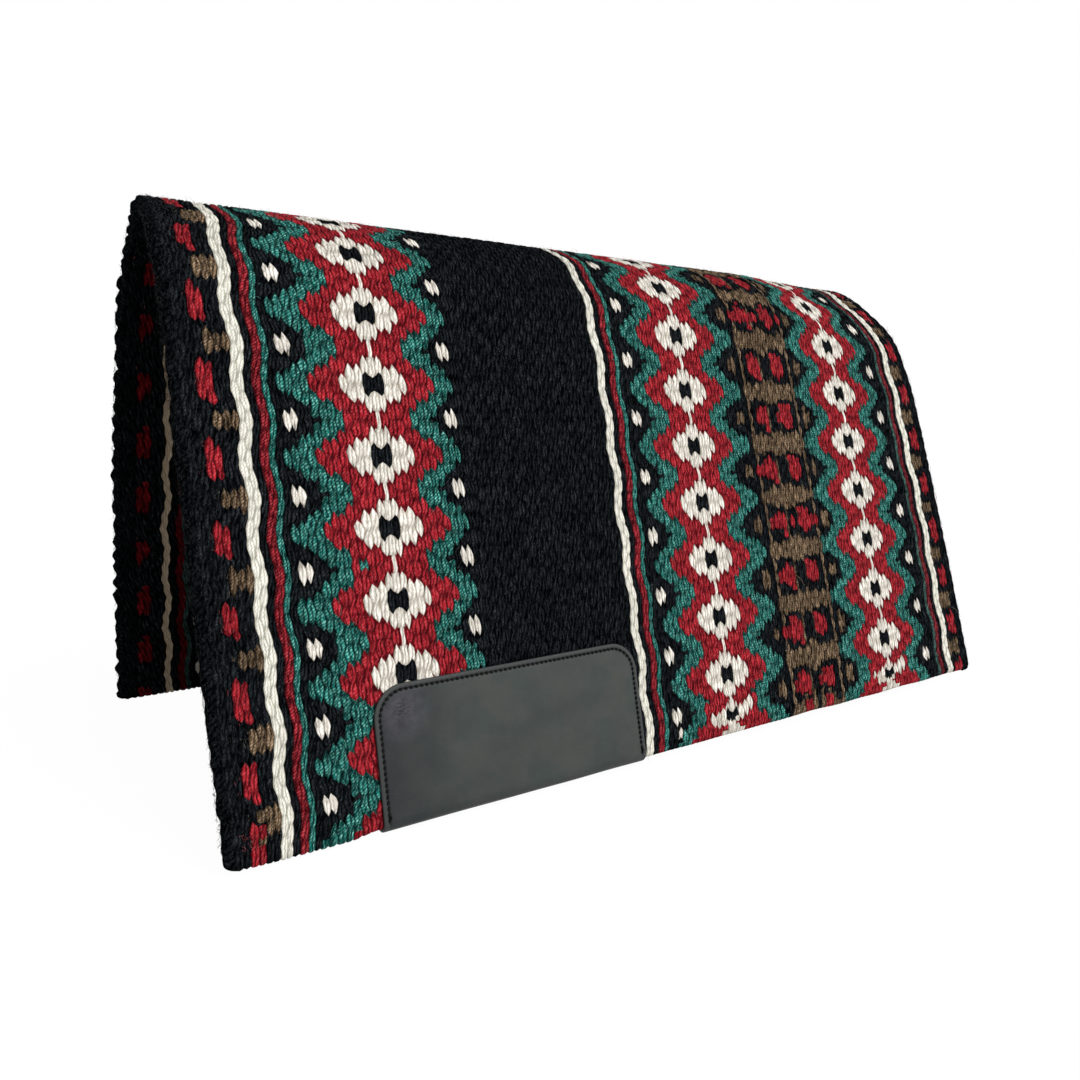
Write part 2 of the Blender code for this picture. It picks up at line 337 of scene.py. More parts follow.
# way: the side that the border is on. reach: where its stripes stop swinging. spots: columns of the cream spots.
# wider: how much further the teal reaches on the left and on the right. eye, cream: widths of these columns.
bands = {
    first: {"way": -1, "reach": 24.5, "spots": (-12, -11, 10, 11), "wider": (0.1, 0), "eye": 0.88, "cream": 0.74},
    second: {"way": -1, "reach": 26, "spots": (-12, -11), "wider": (0, 0.15), "eye": 0.76, "cream": 0.64},
    third: {"way": 1, "reach": 24.5, "spots": (11, 12), "wider": (0.15, 0), "eye": 0.76, "cream": 0.78},
}
# the yarn of a higher rank lies over the other where two meet
rank = {
    "black": 0, "dullTeal": 1, "teal": 1, "brown": 2, "dullRed": 2, "ropeRed": 2, "shadedInsideRed": 2,
    "red": 3, "cream": 4, "ropeCream": 4, "insideCream": 4, "eye": 5,
}
# how far the tips of a row reach past it at most, in picks, by the yarns that meet there
tips = {"notch": 0.26, "eye": 0.45, "cream": 0.75, "others": 0.6, "ofRun": 0.36}
# how many picks each colour of a diamond reaches from its level, by columns from its middle
creamReach = {0: 3.0, 1: 2.5, 2: 1.5, 3: 1.5, 4: 0.5}
redReach = {5: 2.5, 6: 1.5, 7: 1.5, 8: 0.5}
tealReach = {8: 3.5, 9: 2.0, 10: 1.5, 11: 1.0, 12: 0.5}
# how far a red block reaches up and down from half way between two diamond levels
blockReach = {
    -5: (0.5, 0.5), -4: (1.5, 1), -3: (2, 1), -2: (1, 2), 2: (2, 0.5), 3: (2, 1.5), 4: (1.5, 1),
}
# the knotted diamonds by the near hem: where the cream of each column starts and ends, and where it starts again
hemLevel = 69.7
knots = {
    -4: (-0.3, 0.3), -3: (-0.1, 0.8), -2: (-0.6, 1.0), -1: (-1.2, 0.8), 0: (-2.2, 0.9),
    1: (-1.3, 1.0), 2: (-0.9, 0.3), 3: (-1.2, -0.3), 4: (-1.7, -0.6),
}
knotFringe = {-2: 1.6, -1: 0.8, 0: 0.8, 1: 1.3, 2: 1.9}
# along its edges the inner face takes darker copies of its yarns, painted shade for the shadowed inside, and it has no
# brown there
insideYarns = {
    "red": "shadedInsideRed", "ropeRed": "shadedInsideRed", "dullRed": "shadedInsideRed", "ropeCream": "insideCream",
    "teal": "dullTeal", "brown": "black",
}

# Selvedges and hems
edge = {
    # out past the edge, share of the thickness, how far the corner at the hem draws in
    "steps": ((0.0019, 0.97, 0.0004), (0.0034, 0.80, 0.0014), (0.0043, 0.48, 0.0027), (0.0046, 0.15, 0.0038)),
    "apart": 0.3,              # columns from one step to the next in the pattern
    "inset": 0.002,
    "bulge": {near: 0.32, off: 0.55},
    "rearBulge": 0.12,
    # how far the cloth draws in at its ends: metres past the crest towards the near side, metres in
    "front": (
        (-0.50, 0.0), (-0.30, 0.0008), (-0.22, 0.003), (-0.15, 0.0065), (-0.08, 0.0105), (-0.03, 0.0108), (0.0, 0.009),
        (0.05, 0.0045), (0.10, 0.002), (0.20, 0.0023), (0.33, 0.0033), (0.45, 0.0055), (0.52, 0.007)),
    "frontReach": 0.07,
    "rear": (
        (-0.10, 0.0), (-0.05, 0.004), (0.0, 0.008), (0.03, 0.014), (0.06, 0.019), (0.08, 0.020), (0.10, 0.017),
        (0.12, 0.011), (0.15, 0.004), (0.20, 0.0)),
    "rearReach": (0.04, 0.22),
    "rearSag": 0.42,           # share of that
    "loop": 0.0155,
    "wrap": 0.0009,
    "hemSteps": 3,
    "hemDepth": 0.0052,
    "tuck": 0.0033,            # how much sooner the rows end under a leather
    "tuckDepth": 0.0049,
    # the hem hangs lower in front of the near leather, and at its rear corner
    "frontDip": {near: 0.0022, off: -0.002},
    "rearDip": 0.002,
}


def diamondYarn(k, signed, wider):
    # k counts columns from the middle of a diamond, signed picks below its level, up to 4 either way
    a, q = abs(k), abs(signed)
    if a <= 1 and q < 1.0:
        return "eye"
    if q < creamReach.get(a, 0):
        return "cream"
    if a <= 4 or q < redReach.get(a, 0):
        return "red"
    tip = 0.5 if a > 10 and not wider else 0
    return "teal" if a < 8 or q < tealReach[a] + wider - tip else "black"


def borderYarn(k, signed, dull, outermost):
    # k counts columns out from the middle of the diamonds, past them
    q = abs(signed)
    if k == 14:
        return "dullTeal" if dull else "teal"
    if k == 15:
        return "dullRed" if dull else "ropeRed"
    if k in (17, 18):
        return "ropeCream"
    if outermost:
        if 19 <= k <= (22 if dull else 21) and q > 3.2:
            return "brown"
        if k in (21, 22) and abs(signed - (0.25 if k == 21 else -0.25)) < 1.5 or dull and k == 20 and q < 1.0:
            return "red"
    return "black"


def middleYarn(k, signed):
    # the brown crosses and red blocks between the second and third diamonds
    if abs(signed) < (1.5 if abs(k) <= 1 else 1.0):
        return "brown"
    up, down = blockReach.get(k, (0, 0))
    return "red" if signed > 4 - up or signed < down - 4 else "black"


def hemYarn(i, p):
    # by the near hem the last diamonds are cut short and knotted, and the last dash is early
    q = p - hemLevel
    for motif in (second, third):
        k = i - motif
        if abs(k) <= 5 and q > -2.3:
            if k == 0 and -0.6 < q < 0.6 or abs(k) == 1 and -0.6 < q < 0.3:
                return "eye"
            low, high = knots.get(k, (0, 0))
            return "cream" if low < q < high or q > knotFringe.get(k, 9) else "red"
    if i == second - 11 and 70.2 < p < 71.2:
        return "cream"
    # and the middle band ends in a mixed row and two short red blocks
    k = i - middle
    if abs(k) <= 4 and p > 69.4:
        if abs(k) in (2, 3) and p > 70.7:
            return "red"
        return "brown" if abs(k) in (1, 3 if p < 70.7 else 4) else "black"
    # one slip higher up
    if i == first - 5 and 42.6 < p < 45.4:
        return "red"
    if i == first - 4 and 43.0 < p < 44.6:
        return "teal"
    if i in (first - 21, first - 22) and p > 67.9:
        return "brown" if i == first - 21 and 69.6 < p < 70.4 else "red" if p > 68.7 else "black"
    return None


def yarnAt(i, signed, part=0):
    # the yarn of column i, signed picks below a diamond level.
    # part is -1, 0 or 1, for the left edge, middle or right edge of a column
    q = abs(signed)
    k = i - middle
    outside = 1 if k > 0 else -1
    if abs(k) <= 6:
        yarn = middleYarn(k, signed)
        if yarn == "black" and (abs(k) == 6 and part == 0 or abs(k) == 1 and part == outside):
            return "brown"
        return yarn
    if abs(k) == 8 and q > 3.0 or abs(k) == 9 and q > 3.5 and part != outside:
        return "brown"
    for motif, band in bands.items():
        k = i - motif
        if abs(k) <= 12:
            yarn = diamondYarn(k, signed, band["wider"][k > 0])
            if k == 0 and yarn == "red" and part == 0 or k in band["spots"] and q > 3.5:
                return "cream"
            return yarn
        if 12 < k * band["way"] <= 24:
            return borderYarn(abs(k), signed, motif == third, motif != second)
    return "black"


def lineColumn(i):
    return i in bands or abs(i - middle) in (1, 6, 9)


# how loose the floats are, and how many points a column needs, by columns past the middle of a diamond band.
# The stripes and the thin lines keep straight edges.
looseAt = {
    **dict.fromkeys(range(13, 20), 0.3), **dict.fromkeys((17, 18), 0.75), 0: 0.3,
    **dict.fromkeys((-2, -1, 1, 2, 20, 21, 22, 23), 0.5),
}
kindAt = {**dict.fromkeys(range(14, 19), "stripe"), **dict.fromkeys((13, 16, 23, 24), "plain")}
creamAt = {17: 1, 18: 1}


def pastBands(i, table, otherwise):
    # what a table says of column i, which it knows by its distance from a diamond band, towards the border
    for motif, band in bands.items():
        k = (i - motif) * band["way"]
        if k in table:
            return table[k]
    return otherwise


def columnKind(i):
    return "plain" if 37 <= i <= 60 or abs(i - middle) == 7 else pastBands(i, kindAt, "patterned")


def columnEdges():
    # the cream stripes are drawn in and the red ones beside them are fuller
    wide = np.ones(weave["columns"])
    for motif, band in bands.items():
        way, eye, cream = band["way"], band["eye"], band["cream"]
        shares = {14: 0.82, 15: 1.12, 17: cream, 18: cream, 1: eye, -1: eye, 2: 2 - eye, -2: 2 - eye}
        for k, share in shares.items():
            wide[motif + way * k] = share
        for k in band["spots"]:
            wide[motif + k] = 0.86
    wide[third + 13] = 1.7
    wide[third + 19:] = 0.78
    return edge["inset"] + np.concatenate([[0], np.cumsum(wide)]) / wide.sum() * (spine - 2 * edge["inset"])


def sideWave(c, p):
    # the stripes swing away from the diamonds at diamond level and back between them
    swing = np.cos(2 * math.pi * p / weave["pitch"]) + wobble("swing", c * 0, p) + wobble("ownSwing", c, p)
    total = np.zeros(np.broadcast(c, p).shape)
    for motif, band in bands.items():
        k = (c - 0.5 - motif) * band["way"]
        share = np.where(k > 0, smooth((k - 8) / 5) * smooth((band["reach"] - k) / 5), 0)
        total = total + band["way"] * share * swing
    return total * weave["wave"]


def patternRows():
    # picks from diamond level, every half pick, from the off hem to the near hem
    low = -hang["drop"][off] / weave["pick"] - weave["start"] - 2
    high = hang["drop"][near] / weave["pick"] - weave["start"] + 2
    return np.arange(math.floor(low * 2) / 2, high + 0.5, 0.5)


rows = patternRows()
cellMiddles = (rows[:-1] + rows[1:]) / 2
edgesAcross = columnEdges()


def phaseOf(i):
    # where the floats of a column begin, in picks
    motif = min(bands, key=lambda column: abs(i - column))
    k = i - motif
    if abs(k) > 12 or abs(i - middle) <= 9:
        return i % 2
    return int(k in bands[motif]["spots"] or abs(k) % 4 in (0, 1))


def tipReach(yarnsDown, changes, notched, dice):
    # how far the tips of each row reach past it, where the yarn changes
    count = len(yarnsDown)
    reach = np.zeros(count + 1)
    for before, j, after in zip(changes, changes[1:], changes[2:]):
        pair = yarnsDown[j - 1], yarnsDown[j]
        higher = rank[pair[0]] > rank[pair[1]]
        if "eye" in pair and notched:
            higher = not higher     # the eyes are notched in the middle, above and below
        way = 1 if higher else -1
        run = (after - j if way > 0 else j - before) / 2
        kind = ("notch" if notched else "eye") if "eye" in pair else "cream" if "cream" in pair else "others"
        depth = min(tips[kind], tips["ofRun"] * run) * dice.uniform(0.75, 1.2)
        for step in range(-3, 4):
            share = 1 - abs(step) / (4 if step * way < 0 else 3)
            if 0 <= j + step <= count and abs(reach[j + step]) < depth * share:
                reach[j + step] = way * depth * share
    return reach


def laidColumn(i, dice, shift=0):
    # one column: the yarn of each cell for its left, middle and right part, how far its tips reach,
    # how high each row stands, how fat it is there and how it leans
    places = cellMiddles + shift
    level = places - weave["pitch"] * np.round(places / weave["pitch"])
    most = weave["raggedMiddle" if abs(i - middle) <= 9 else "ragged"]
    ragged = dice.uniform(-most, most, 60)[np.round(places / 4).astype(int) % 60]
    cells = {part: [yarnAt(i, q + r * np.sign(q), part) for q, r in zip(level, ragged)] for part in (-1, 0, 1)}
    for part, found in cells.items():
        if not shift:
            cells[part] = [hemYarn(i, p) or yarn for p, yarn in zip(cellMiddles, found)]
        elif not first - 12 <= i <= third + 12:
            cells[part] = [insideYarns.get(yarn, yarn) for yarn in found]
    main = cells[0] if lineColumn(i) else cells[1]
    changes = [0] + [j for j in range(1, len(main)) if main[j] != main[j - 1]] + [len(main)]
    reach = tipReach(main, changes, i in bands, dice)
    begin = phaseOf(i) + (0.5 if shift else 0)
    floats = (rows + shift - begin) / 2
    fat = np.sin(math.pi * (floats % 1))
    height = 0.5 + 0.5 * fat ** 0.7
    height[changes[1:-1]] = np.minimum(height[changes[1:-1]], 0.55)
    loose = (0.45 if columnKind(i) == "stripe" else 1.0) if shift else pastBands(i, looseAt, 1.0)
    vary = dice.uniform(0.6, 1.3, 200)[np.floor(floats).astype(int) % 200] * loose
    lean = -np.sin(2 * math.pi * (floats % 1))
    return {"cells": cells, "reach": reach, "height": height, "fat": fat * vary, "lean": lean * vary, "begin": begin}


dice = np.random.default_rng(11)
outerColumns = [laidColumn(i, dice) for i in range(weave["columns"])]
innerColumns = [laidColumn(i, dice, weave["pitch"] / 2) for i in range(weave["columns"])]
print("pattern laid out:", weave["columns"], "columns of", len(cellMiddles), "half picks")

leather = {
    "start": 0.110,
    "width": 0.2345,
    "height": 0.1035,
    "thick": 0.0022,
    "gap": 0.0003,
    "corner": 0.024,
    "seamInset": 0.0042,
    "seamEnd": 0.0072,
    "seamDepth": 0.00042,
    "stitch": 0.0041,
    "thread": 0.00102,
    "slant": 0.0005,
    "besides": 0.0005,         # how far a stitch lies beside the one that it is sewn over
}
leatherOff = half + leather["gap"] + leather["thick"] / 2   # the middle of the leather, off the middle of the cloth
leatherStraight = leather["height"] - leatherOff - leather["thick"] / 2   # from its top edge to the bend
leatherLength = 2 * leatherStraight + math.pi * leatherOff


def underLeather(u, s, drop):
    # 1 where a leather covers the cloth
    start, end = leather["start"] - 0.0005, leather["start"] + leather["width"] + 0.0005
    top = drop - leather["height"] + 0.002
    return smooth((u - start) / 0.002) * smooth((end - u) / 0.002) * smooth((s - top) / 0.003)


# where the points of a column lie, from -1 to 1, on the outer face and on the inner one
outerPlacing = {
    "plain": (-1, 0), "stripe": (-1, -0.4, 0.4), "patterned": (-1, -0.5, 0, 0.5), "line": (-1, -0.5, 0, 0.5),
}
innerPlacing = {"plain": (-1,), "stripe": (-1,), "patterned": (-1, 0), "line": (-1, -0.5, 0.5)}


def stations(placing):
    # places across the cloth: columns from the front edge, column, place in it, step past the edge or 0, which edge
    last, steps, apart = weave["columns"] - 1, range(1, len(edge["steps"]) + 1), edge["apart"]
    found = [(-apart * step, 0, -1, step, -1) for step in reversed(steps)]
    for i in range(weave["columns"]):
        kind = "line" if lineColumn(i) else columnKind(i)
        found += [(i + (a + 1) / 2, i, a, 0, 0) for a in placing[kind]]
    found.append((last + 1, last, 1, 0, 0))
    found += [(last + 1 + apart * step, last, 1, step, 1) for step in steps]
    return np.array(found, float)


def shapeOfFloats(places, columns, picks):
    # for each place and row: how far the tip reaches in picks, how far it moves sideways in columns,
    # and its lift from 0 to 1
    reach, sway, lift = np.zeros((3, len(places), len(picks)))
    read = lambda column, key: np.interp(picks, rows, column[key])
    few, lens, lean = columns is innerColumns, weave["lens"], weave["lean"]
    between = []
    for i in range(weave["columns"] + 1):
        left, right = columns[max(i - 1, 0)], columns[min(i, weave["columns"] - 1)]
        swing = lens * (read(left, "fat") - read(right, "fat")) / 2
        swing = swing + lean * (read(left, "lean") + read(right, "lean")) / 2
        low = np.minimum(read(left, "height"), read(right, "height"))
        flush = few and "patterned" not in (columnKind(i - 1), columnKind(i))
        if few:
            swing = swing + 0.2 * (pastBands(i, creamAt, 0) - pastBands(i - 1, creamAt, 0))
        between.append((swing if 0 < i < weave["columns"] else swing * 0, 0.8 * low if flush else 0.02 + 0.5 * low))
    for x, (_, i, a, step, _) in enumerate(places):
        i = int(i)
        if step:
            lift[x] = 0.62
        elif abs(a) == 1:
            sway[x], lift[x] = between[i + (a > 0)]
        else:
            column = columns[i]
            beside = (1 - a) / 2 * between[i][0] + (1 + a) / 2 * between[i + 1][0]
            sway[x] = (1 - abs(a)) * lean * read(column, "lean") + beside
            crowned = a == 0 and not few and columnKind(i) == "patterned"
            lift[x] = (0.88 if crowned else 1.0) * read(column, "height")
            reach[x] = read(column, "reach") * (1 - abs(a))
    reach[:, 0] = reach[:, -1] = 0
    sway[:, 0] *= 0.999
    return reach, sway, lift


def drawnIn(side, u, outer):
    # the ends draw in and droop a little over the crest
    toNear = -side * outer
    front, frontIn = np.array(edge["front"]).T
    ahead = np.interp(toNear, front, frontIn) * smooth(1 - u / edge["frontReach"])
    rear, rearIn = np.array(edge["rear"]).T
    full, reach = edge["rearReach"]
    behind = np.interp(toNear, rear, rearIn) * smooth((reach - spine + u) / (reach - full))
    return ahead - behind, edge["rearSag"] * behind


def clothPoints(side, places, picks, inner):
    # places across by rows of picks: lengths across, down and out, rows and lifts
    drop = hang["drop"][side]
    reach, sway, lift = shapeOfFloats(places, innerColumns if inner else outerColumns, picks)
    c = places[:, :1] + np.zeros((1, len(picks)))
    step, which = places[:, 3:4], places[:, 4:]
    outward, thin, drawn = np.array(((0, 1, 0),) + edge["steps"])[places[:, 3].astype(int)].T[:, :, None]
    p = picks[None, :] + reach
    outer = -side * (p + weave["start"]) * weave["pick"]
    u = np.interp(np.clip(c, 0, weave["columns"]), columnLines, edgesAcross)
    u = u + sway * columnWidth + sideWave(c, p) + wobble("across", c, p)
    s = middleOf(side, np.clip(u, 0, spine), outer)
    # the rows end short of the hem, sooner under a leather and at the corners
    cover = underLeather(u, np.full(u.shape, drop), drop)
    hemStart = drop - edge["hemDepth"] - edge["tuck"] * cover
    drawn = drawn * np.where(which > 0, 0.12, 1)
    s = s - drawn * smooth((s - drop + 0.03) / 0.03)
    s = s - edge["tuck"] * cover * smooth((s - drop + 0.04) / 0.035) * (s < hemStart - 1e-7)
    s = np.minimum(s, hemStart - drawn)
    # the selvedge is wrapped aslant, in uneven loops
    aslant = step * (-0.13 if inner else 0.13) + wobble("aslant", outer * 40, c * 0 + which)
    loops = np.abs(np.sin(math.pi * (outer / edge["loop"] + aslant))) ** 0.6 + wobble("loops", outer * 400, step * 0.6)
    inwards, sag = drawnIn(side, u, outer)
    bulge = np.where(which > 0, edge["rearBulge"], edge["bulge"][side])
    u = u + inwards + which * outward * (1 + bulge * (loops - 0.5) * 2)
    h = half + weave["proud"] - weave["relief"] * (1 - lift)
    h = h + wobble("face", c, p) + wobble("closeFace", c, p)
    h = (h + edge["wrap"] * (loops - 0.7) * (step > 0)) * thin
    hidden = underLeather(u, s, drop)
    h = h * (1 - hidden) + np.minimum(h, half - 0.0004) * hidden
    return u, s, (-h if inner else h) - sag, p, lift


def rowsDown(side):
    # picks of the rows from the crest to the hem, every half pick outside and every pick inside
    crest = -weave["start"]
    past = -side * (rows - crest)
    down = rows[(past > 0.05) & (past * weave["pick"] < hang["drop"][side] + 0.0055)][::-side][:-1]
    whole = [p for p in down[:-1] if abs(p % 1 - 0.5) < 0.01]
    return np.array([crest, *down]), np.array([crest, *whole, down[-1]])


def roundTheHem(side, places, u, s, h, p):
    # lines of points from the last outer row round to the inner face, with their flat coordinates and lifts
    across, step = places[:, 0], places[:, 3]
    drop, steps = hang["drop"][side], edge["hemSteps"]
    cover = underLeather(u, np.full(u.shape, drop), drop)
    crowned = (np.abs(places[:, 2]) < 1) * (step == 0)
    depth = edge["hemDepth"] * (0.84 + 0.2 * crowned) * (1 - cover) + edge["tuckDepth"] * cover
    depth = depth * (1 - np.where(across < 0, 0.12, -0.04) * step)
    depth = depth + wobble("hem", across, across * 0) * (1 - cover)
    depth = depth + edge["frontDip"][side] * smooth((leather["start"] - 0.002 - u) / 0.02)
    depth = depth + edge["rearDip"] * smooth((u - spine + 0.012) / 0.012)
    lines = []
    for k in range(1, steps + 1):
        angle = math.pi * k / (steps + 1)
        points = drape(side, u, s + depth * math.sin(angle), h * math.cos(angle) * np.where(crowned, 1, 0.93))
        # the lifts given here only darken the wool round the hem, as painted shade
        lines.append((points, np.stack([across, p - side * edge["apart"] * k], -1), np.where(crowned, 0.85, 0.3)))
    return lines


def faceRow(fine, coarse):
    # faces between two lines of (vertex, place) where the coarse one has only some of the places
    made = []
    for (b, pb), (c, pc) in zip(coarse[:-1], coarse[1:]):
        made.append(tuple(v for v, place in fine if pb - 1e-9 <= place <= pc + 1e-9) + (c, b))
    return made


def wovenHalf(name, side):
    outerPlaces, innerPlaces = stations(outerPlacing), stations(innerPlacing)
    picks, innerPicks = rowsDown(side)
    steps = edge["hemSteps"]
    u, s, h, p, lift = clothPoints(side, outerPlaces, picks, False)
    hem = roundTheHem(side, outerPlaces, u[:, -1], s[:, -1], h[:, -1], p[:, -1])
    ui, si, hi, pi, innerLift = clothPoints(side, innerPlaces, innerPicks, True)
    flatOf = lambda places, p: np.stack([places[:, :1] + p * 0, p], -1).reshape(-1, 2)
    parts = [(drape(side, u, s, h).reshape(-1, 3), flatOf(outerPlaces, p), lift.ravel()), *hem]
    parts.append((drape(side, ui, si, hi).reshape(-1, 3), flatOf(innerPlaces, pi), innerLift.ravel()))
    points, flat, lifts = (np.concatenate(values) for values in zip(*parts))
    # the vertices down each line, with those round the hem, and down each line of the inner face
    (nx, ny), (mx, my) = u.shape, ui.shape
    outerLines = [[x * ny + y for y in range(ny)] + [(ny + k) * nx + x for k in range(steps)] for x in range(nx)]
    innerLines = [[(ny + steps) * nx + x * my + y for y in range(my)] for x in range(mx)]
    outerMiddles = [*(picks[:-1] + picks[1:]) / 2] + [picks[-1] - side * 0.25] * steps
    innerMiddles = (innerPicks[:-1] + innerPicks[1:]) / 2
    faces, paint, columnOf, floatOf = [], [], [], []

    def addFace(corners, forward, columns, c, p, plain):
        # one face, with the yarn of the column and cell that it is in
        i = min(max(math.floor(c), 0), weave["columns"] - 1)
        part = -1 if c % 1 < 0.25 else 1 if c % 1 > 0.75 else 0
        cell = min(max(int(round((p - rows[0]) * 2 - 0.5)), 0), len(cellMiddles) - 1)
        yarn = columns[i]["cells"][part if lineColumn(i) else 1][cell]
        faces.append(corners if forward else corners[::-1])
        paint.append(yarnOrder.index("black" if plain or yarn == "eye" else yarn))
        begin = columns[i]["begin"] - (weave["pitch"] / 2 if columns is innerColumns else 0)
        columnOf.append(math.floor(c))
        floatOf.append(2 * math.floor((p - begin) / 2) + begin)

    for lines, places, columns, middles, inner in (
            (outerLines, outerPlaces, outerColumns, outerMiddles, False),
            (innerLines, innerPlaces, innerColumns, innerMiddles, True)):
        for x in range(len(lines) - 1):
            a, b = lines[x:x + 2]
            c, plain = (places[x, 0] + places[x + 1, 0]) / 2, places[x:x + 2, 3].any()
            for j, height in enumerate(middles):
                corners = (a[j], b[j], b[j + 1], a[j + 1]) if inner else (a[j], a[j + 1], b[j + 1], b[j])
                addFace(corners, side == near, columns, c, height, plain)
    # where a fine line of points meets a coarse one: the hem, the crest and the two selvedges
    for end, forward, past in ((-1, side == off, 0.2), (0, side == near, -0.2)):
        fine, coarse = (
            [(line[end], place[0]) for line, place in zip(lines, places)]
            for lines, places in ((outerLines, outerPlaces), (innerLines, innerPlaces)))
        for face, place in zip(faceRow(fine, coarse), innerPlaces):
            addFace(face, forward, innerColumns, place[0] + 0.01, innerPicks[end] + side * past, bool(place[3]))
    for end, flip in ((0, 1), (-1, -1)):
        fine = list(zip(outerLines[end], -side * np.append(picks, [picks[-1]] * steps)))
        coarse = list(zip(innerLines[end], -side * innerPicks))
        for y, face in enumerate(faceRow(fine, coarse)):
            addFace(face, flip * side > 0, outerColumns, outerPlaces[end, 0], innerPicks[y], True)
    piece = addPiece(name, points.tolist(), faces, yarnMaterials, paint)
    flat = flat[cornersOf(piece.data)]
    sizes = [len(face) for face in faces]
    columnOf, floatOf = np.array(columnOf, float), np.array(floatOf, float)
    # where each corner lies in its float
    own = np.stack([2 * (flat[:, 0] - columnOf.repeat(sizes)) - 1, (flat[:, 1] - floatOf.repeat(sizes)) / 2], -1)
    beyond = ((columnOf < 0) | (columnOf >= weave["columns"])).repeat(sizes)
    own[beyond] = np.stack([1.5 * flat[:, 1] + 1.2 * flat[:, 0], flat[:, 0] * 0 + 0.5], -1)[beyond]
    addFlat(piece.data, "weave", flat)
    addFlat(piece.data, "strand", own)
    # lift also darkens the wool low in its relief: painted shade
    addValues(piece.data, "lift", "POINT", lifts)
    # every float has its own shade
    table = np.random.default_rng(5).uniform(0, 1, (weave["columns"] + 8, 140))
    shades = table[(columnOf.astype(int) + 4) % len(table), np.floor(floatOf / 2).astype(int) % 140]
    addValues(piece.data, "tone", "FACE", shades)
    print(name, "woven:", len(faces), "faces")
    return piece


nearHalf = wovenHalf("woven_near_half", near)
offHalf = wovenHalf("woven_off_half", off)

# Leather
leatherColours = {
    "plain": (58, 60, 58),
    # dark clouds of the mottling, and painted shade towards the front edge
    "mottleAndShade": (18, 19, 26),
    "green": (49, 57, 54),
    "worn": (94, 96, 97),
    "rubbed": (73, 70, 80),
    "scratched": (14, 14, 17),
    "rim": (52, 54, 54),
    # painted shade where it turns under the hem and in the seam groove, and a darker line along the cut edge
    "shadeDark": (14, 14, 16),
}
rubbedAt = (0.021, 0.019, 0.0)


def leatherMaterial():
    material = bpy.data.materials.new("wear_leather")
    n = Nodes(material)
    paint = {name: linear(*colour) for name, colour in leatherColours.items()}
    flat = n.flat("cut")
    across, down = n.parts(flat)
    mapped = lambda **change: n.add("Mapping", Vector=flat, **change)
    large = n.noise(flat, 14.0, 3.0)
    small = n.noise(flat, 900.0, 4.0, 0.65)
    pores = n.add("TexVoronoi", {"feature": "F1"}, Vector=flat, Scale=1500.0).outputs["Distance"]
    # mottled, greenish in clouds, and darker and cooler towards the front edge, which is painted shade
    patches = n.spread(n.noise(flat, 60.0, 4.0, 0.6), 0.35, 0.65, 0.0, 0.35)
    mottled = n.plus(n.spread(large, 0.35, 0.65, 0.0, 0.65), patches)
    cloudy = n.noise(mapped(Location=(3.0, 1.0, 0.0)), 34.0, 3.0, 0.6)
    plain = n.mix(n.spread(cloudy, 0.42, 0.6, 0.0, 0.8), paint["plain"], paint["green"])
    fromFront = n.spread(across, -0.001, 0.068)
    warm = n.math("MINIMUM", n.plus(n.times(mottled, 0.45), n.times(fromFront, 0.7)), 1.0)
    body = n.mix(warm, paint["mottleAndShade"], plain)
    scuff = n.noise(mapped(Scale=(40.0, 160.0, 1.0)), 1.0, 6.0, 0.8)
    body = n.mix(n.times(n.spread(scuff, 0.62, 0.8, 0.0, 0.5), 0.6), body, paint["worn"])
    # the corner has been rubbed
    away = n.add("VectorMath", {"operation": "DISTANCE"}, (flat, rubbedAt)).outputs["Value"]
    patchy = n.spread(n.noise(flat, 120.0, 4.0, 0.7), 0.35, 0.6, 0.2, 1.0)
    body = n.mix(n.times(n.spread(away, 0.003, 0.026, 0.7, 0.0), patchy), body, paint["rubbed"])
    scratches = n.noise(mapped(Rotation=(0.0, 0.0, 0.7), Scale=(300.0, 900.0, 1.0)), 1.0, 2.0, 0.5)
    scratched = n.times(n.spread(away, 0.003, 0.008, 1.0, 0.0), n.spread(scratches, 0.5, 0.56), 0.9)
    body = n.mix(scratched, body, paint["scratched"])
    body = n.mix(n.value("rim"), body, paint["rim"])
    # and painted shade where it turns under the hem
    fold = leather["height"]
    intoFold = n.spread(down, fold - 0.006, fold - 0.001, 0.0, 0.75)
    body = n.mix(n.times(intoFold, n.spread(down, fold + 0.012, fold + 0.018, 1.0, 0.0)), body, paint["shadeDark"])
    # painted shade in the seam groove, and a darker line along the cut edge
    body = n.mix(n.times(n.value("grooveShade"), 0.9), body, paint["shadeDark"])
    rough = n.spread(n.plus(large, n.times(small, 0.4)), 0.3, 1.1, 0.39, 0.57)
    n.coat(body, rough, 0.2, n.plus(n.times(small, 0.6), n.times(pores, 0.5)), 0.35, 0.0004)
    return material


def roundHem(drop, v, w):
    # folds the flat leather round the hem: v down from its outer top edge, w off its middle
    bend = math.pi * leatherOff
    bendS = drop - leatherOff - leather["thick"] / 2
    angle = np.clip(v - leatherStraight, 0, bend) / leatherOff
    before, after = np.minimum(v - leatherStraight, 0), np.maximum(v - leatherStraight - bend, 0)
    return bendS + before + (leatherOff + w) * np.sin(angle) - after, (leatherOff + w) * np.cos(angle)


